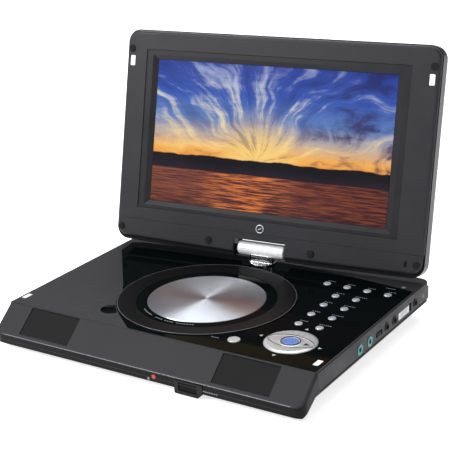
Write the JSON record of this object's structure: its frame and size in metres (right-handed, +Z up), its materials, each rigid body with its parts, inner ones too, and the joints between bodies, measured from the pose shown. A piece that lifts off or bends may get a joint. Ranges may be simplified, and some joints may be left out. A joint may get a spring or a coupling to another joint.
{
  "type": "portable dvd player",
  "caption": "Clamshell portable disc player: wide screen lid on a swivelling, tilting centre hinge, round disc door, sprung keys, side sockets and sloped front speakers.",
  "frame": {"origin": "centre of the battery pack's flat underside, which stands on the table", "axes": "+X to the player's right along its width, +Y to its back, +Z up; -Z is the resting face's normal"},
  "size_m": [0.2615, 0.2293, 0.1976],
  "materials": {
    "casing": "fine moulded texture, dark grey",
    "gloss_black": "polished black",
    "door_satin": "satin charcoal",
    "spun_aluminium": "radially spun",
    "grille": "perforated, dark",
    "speaker": "black",
    "ir_window": "dark red tint",
    "indicator": "clear red lens",
    "nickel": "bright nickel",
    "teal": "teal",
    "jack_black": "black",
    "silver_plastic": "silver paint",
    "blue_button": "translucent blue",
    "drive_black": "black",
    "steel": "bright",
    "circuit_board": "green solder mask",
    "battery": "fine texture",
    "rubber": "matt black",
    "screw": "black oxide",
    "chrome": "polished",
    "bezel": "satin dark grey",
    "display": "display glass"
  },
  "bodies": {
    "base": {"base_top_frame": "casing", "base_bottom_shell": "casing", "front_housing": "casing", "front_housing_cover": "casing", "side_panel": "casing", "ir_housing": "casing", "gloss_panel": "gloss_black", "speaker_grilles": "grille", "speakers": "speaker", "ir_window": "ir_window", "indicator_leds": "indicator", "latch_plates_base": "nickel", "headphone_jacks": "teal", "av_jacks": "jack_black", "dc_jack": "jack_black", "disc_well": "drive_black", "spindle_motor": "steel", "pickup_rails": "steel", "sled_motor": "steel", "door_hinge_pin": "steel", "hinge_socket": "steel", "main_board": "circuit_board", "key_board": "circuit_board", "battery_pack": "battery", "feet": "rubber", "base_screws": "screw"},
    "disc_door": {"disc_door": "door_satin", "door_gloss_ring": "gloss_black", "door_plate": "spun_aluminium"},
    "turntable": {"turntable": "drive_black"},
    "pickup_sled": {"pickup_sled": "drive_black"},
    "lead_screw": {"lead_screw": "steel"},
    "power_switch": {"power_switch": "silver_plastic"},
    "volume_wheel": {"volume_wheel": "jack_black"},
    "open_button": {"open_button": "silver_plastic"},
    "nav_ring": {"nav_ring": "silver_plastic"},
    "enter_button": {"enter_button": "blue_button"},
    "swivel": {"swivel_post": "chrome", "hinge_barrel": "silver_plastic"},
    "lid": {"lid_hinge_arms": "steel", "lid_rear_shell": "gloss_black", "lid_front_frame": "casing", "lid_chin_cover": "casing", "display_bezel": "bezel", "lcd_panel": "display", "display_board": "circuit_board", "lid_bumpers": "rubber", "latch_plates_lid": "nickel"},
    "key_01": {"key_01": "silver_plastic"},
    "key_02": {"key_02": "silver_plastic"},
    "key_03": {"key_03": "silver_plastic"},
    "key_04": {"key_04": "silver_plastic"},
    "key_05": {"key_05": "silver_plastic"},
    "key_06": {"key_06": "silver_plastic"},
    "key_07": {"key_07": "silver_plastic"},
    "key_08": {"key_08": "silver_plastic"},
    "key_09": {"key_09": "silver_plastic"},
    "key_10": {"key_10": "silver_plastic"},
    "key_11": {"key_11": "silver_plastic"},
    "key_12": {"key_12": "silver_plastic"}
  },
  "joints": [
    {"name": "lid_swivel", "type": "hinge", "parent": "base", "child": "swivel", "pos_m": [0, 0.051, 0.028], "axis": [0, 0, 1], "range_deg": [-5.4, 174.6]},
    {"name": "lid_tilt", "type": "hinge", "parent": "swivel", "child": "lid", "pos_m": [0, 0.051, 0.0385], "axis": [0.9956, 0.0941, 0], "range_deg": [-76.1, 103.9]},
    {"name": "disc_door_open", "type": "hinge", "parent": "base", "child": "disc_door", "pos_m": [0, 0.0382, 0.0262], "axis": [-1, 0, 0], "range_deg": [0, 62]},
    {"name": "turntable_spin", "type": "hinge", "parent": "base", "child": "turntable", "pos_m": [0, -0.029, 0.0205], "axis": [0, 0, 1], "continuous": true},
    {"name": "pickup_travel", "type": "slide", "parent": "base", "child": "pickup_sled", "axis": [0, -1, 0], "range_m": [0, 0.026]},
    {"name": "lead_screw_turn", "type": "hinge", "parent": "base", "child": "lead_screw", "pos_m": [0.0176, -0.065, 0.0174], "axis": [0, 1, 0], "range_deg": [0, 3130]},
    {"name": "power_switch_slide", "type": "slide", "parent": "base", "child": "power_switch", "axis": [0, 1, 0], "range_m": [0, 0.0044]},
    {"name": "volume_turn", "type": "hinge", "parent": "base", "child": "volume_wheel", "pos_m": [0.1223, -0.0103, 0.0192], "axis": [0, 0, 1], "range_deg": [-135, 135]},
    {"name": "open_press", "type": "slide", "parent": "base", "child": "open_button", "axis": [0, 0, -1], "range_m": [0, 0.0006], "stiffness_N_per_m": 500},
    {"name": "nav_press", "type": "slide", "parent": "base", "child": "nav_ring", "axis": [0, 0, -1], "range_m": [0, 0.0005], "stiffness_N_per_m": 600},
    {"name": "enter_press", "type": "slide", "parent": "base", "child": "enter_button", "axis": [0, 0, -1], "range_m": [0, 0.0005], "stiffness_N_per_m": 500},
    {"name": "key_01_press", "type": "slide", "parent": "base", "child": "key_01", "axis": [0, 0, -1], "range_m": [0, 0.0006], "stiffness_N_per_m": 400},
    {"name": "key_02_press", "type": "slide", "parent": "base", "child": "key_02", "axis": [0, 0, -1], "range_m": [0, 0.0006], "stiffness_N_per_m": 400},
    {"name": "key_03_press", "type": "slide", "parent": "base", "child": "key_03", "axis": [0, 0, -1], "range_m": [0, 0.0006], "stiffness_N_per_m": 400},
    {"name": "key_04_press", "type": "slide", "parent": "base", "child": "key_04", "axis": [0, 0, -1], "range_m": [0, 0.0006], "stiffness_N_per_m": 400},
    {"name": "key_05_press", "type": "slide", "parent": "base", "child": "key_05", "axis": [0, 0, -1], "range_m": [0, 0.0006], "stiffness_N_per_m": 400},
    {"name": "key_06_press", "type": "slide", "parent": "base", "child": "key_06", "axis": [0, 0, -1], "range_m": [0, 0.0006], "stiffness_N_per_m": 400},
    {"name": "key_07_press", "type": "slide", "parent": "base", "child": "key_07", "axis": [0, 0, -1], "range_m": [0, 0.0006], "stiffness_N_per_m": 400},
    {"name": "key_08_press", "type": "slide", "parent": "base", "child": "key_08", "axis": [0, 0, -1], "range_m": [0, 0.0006], "stiffness_N_per_m": 400},
    {"name": "key_09_press", "type": "slide", "parent": "base", "child": "key_09", "axis": [0, 0, -1], "range_m": [0, 0.0006], "stiffness_N_per_m": 400},
    {"name": "key_10_press", "type": "slide", "parent": "base", "child": "key_10", "axis": [0, 0, -1], "range_m": [0, 0.0006], "stiffness_N_per_m": 400},
    {"name": "key_11_press", "type": "slide", "parent": "base", "child": "key_11", "axis": [0, 0, -1], "range_m": [0, 0.0006], "stiffness_N_per_m": 400},
    {"name": "key_12_press", "type": "slide", "parent": "base", "child": "key_12", "axis": [0, 0, -1], "range_m": [0, 0.0006], "stiffness_N_per_m": 400}
  ],
  "couplings": [
    {"joint": "lead_screw_turn", "follows": "pickup_travel", "rad_per_m": 2094.4}
  ]
}
